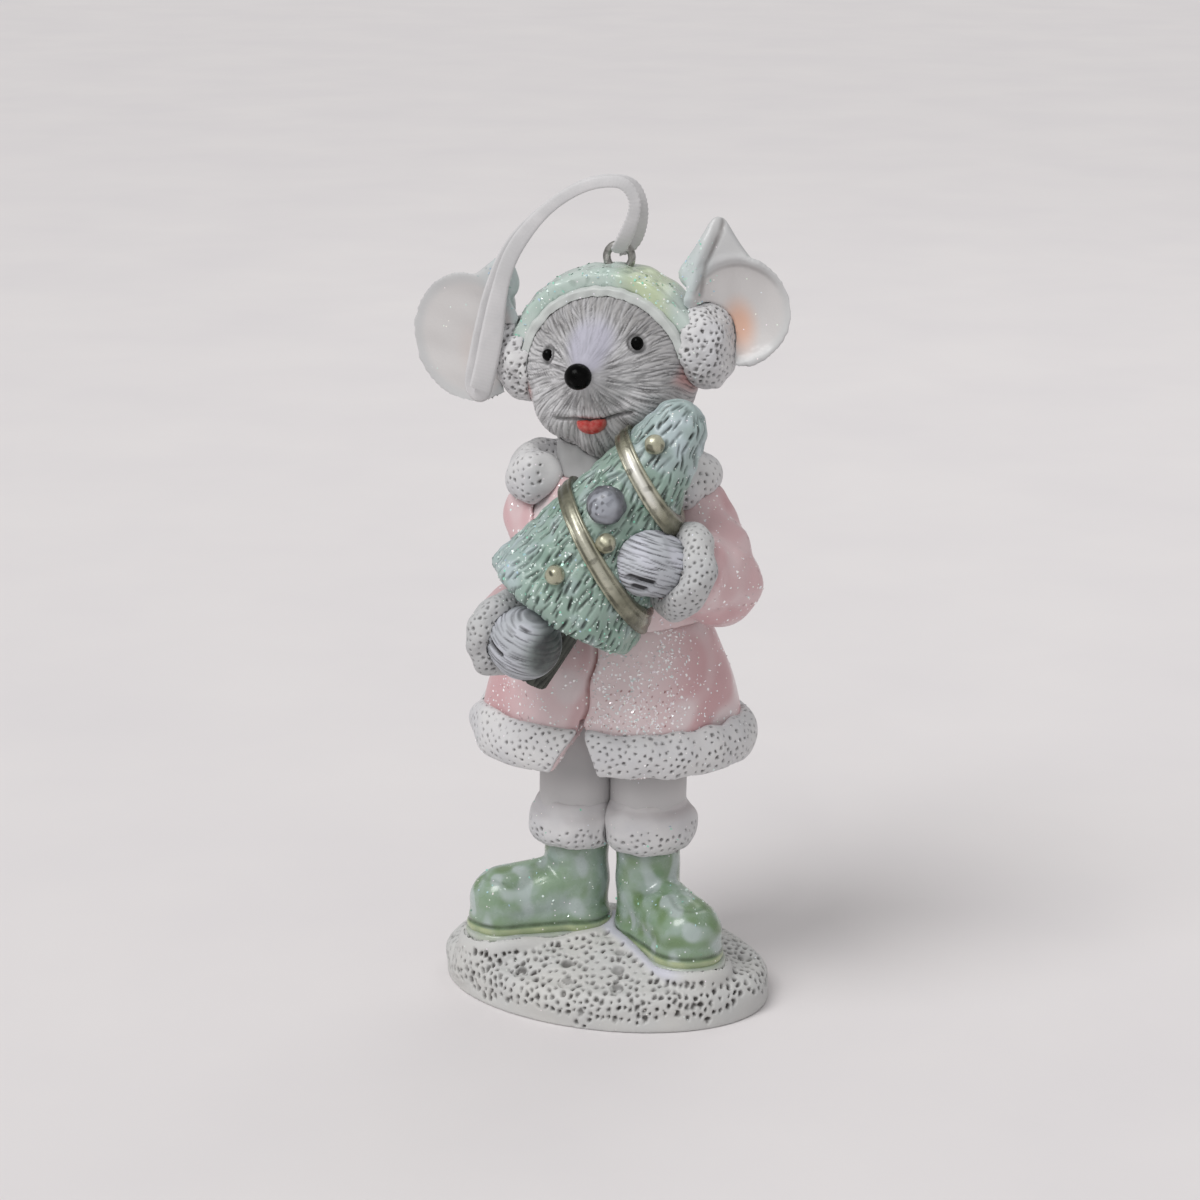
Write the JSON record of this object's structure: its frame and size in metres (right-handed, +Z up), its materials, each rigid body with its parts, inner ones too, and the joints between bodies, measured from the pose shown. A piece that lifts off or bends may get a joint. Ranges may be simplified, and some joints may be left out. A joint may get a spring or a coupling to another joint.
{
  "type": "mouse figurine ornament",
  "caption": "Painted resin ornament of a mouse in a pink winter coat, standing on an oval of snow and hugging a small tree, with a ribbon loop on a screw eye to hang it by.",
  "frame": {"origin": "middle of the flat underside of the snow base", "axes": "+Z up along the standing figure, -Y the way the figure faces, +X to the right of someone who looks at its front"},
  "size_m": [0.06, 0.0499, 0.1293],
  "materials": {
    "snow": "painted resin snow, pitted and lightly grey washed",
    "welt": "painted resin, pearly white",
    "mint": "painted resin, pearly mint green with fine glitter",
    "white": "painted resin, soft white",
    "fur_white": "painted resin fur, pitted",
    "coat": "painted resin, pink with silver glitter",
    "fur_grey": "painted resin fur, grey with darker carved strokes",
    "ear": "painted resin, white with a peach hollow",
    "tree_green": "painted resin, frosted mint green with glitter",
    "trunk": "painted resin, dark grey green",
    "gold": "painted resin, silvery gold",
    "bauble_grey": "painted resin, grey lavender",
    "black": "painted resin, glossy black",
    "tongue": "painted resin, red",
    "lining": "painted resin, cream",
    "steel": "bent steel wire",
    "ribbon": "narrow woven white ribbon"
  },
  "bodies": {
    "figurine": {"snow_base": "snow", "sole_left": "welt", "boot_left": "mint", "trouser_left": "white", "trouser_cuff_left": "fur_white", "sleeve_left": "coat", "sleeve_cuff_left": "fur_white", "paw_left": "fur_grey", "eye_left": "black", "earmuff_left": "fur_white", "ear_left": "ear", "sole_right": "welt", "boot_right": "mint", "trouser_right": "white", "trouser_cuff_right": "fur_white", "sleeve_right": "coat", "sleeve_cuff_right": "fur_white", "paw_right": "fur_grey", "eye_right": "black", "earmuff_right": "fur_white", "ear_right": "ear", "coat_skirt": "coat", "coat_body": "coat", "coat_hem": "fur_white", "fur_collar": "fur_white", "neck": "white", "tree": "tree_green", "tree_trunk": "trunk", "garland_upper": "gold", "garland_lower": "gold", "tree_baubles": "gold", "tree_big_bauble": "bauble_grey", "head": "fur_grey", "nose": "black", "tongue": "tongue", "headband": "mint", "headband_lining": "lining", "screw_eye": "steel"},
    "hanger": {"hanging_ribbon": "ribbon"}
  },
  "joints": [
    {"name": "hanger_swing", "type": "hinge", "parent": "figurine", "child": "hanger", "pos_m": [0.0017, 0.001, 0.117], "axis": [0, 1, 0], "range_deg": [0, 50]}
  ]
}
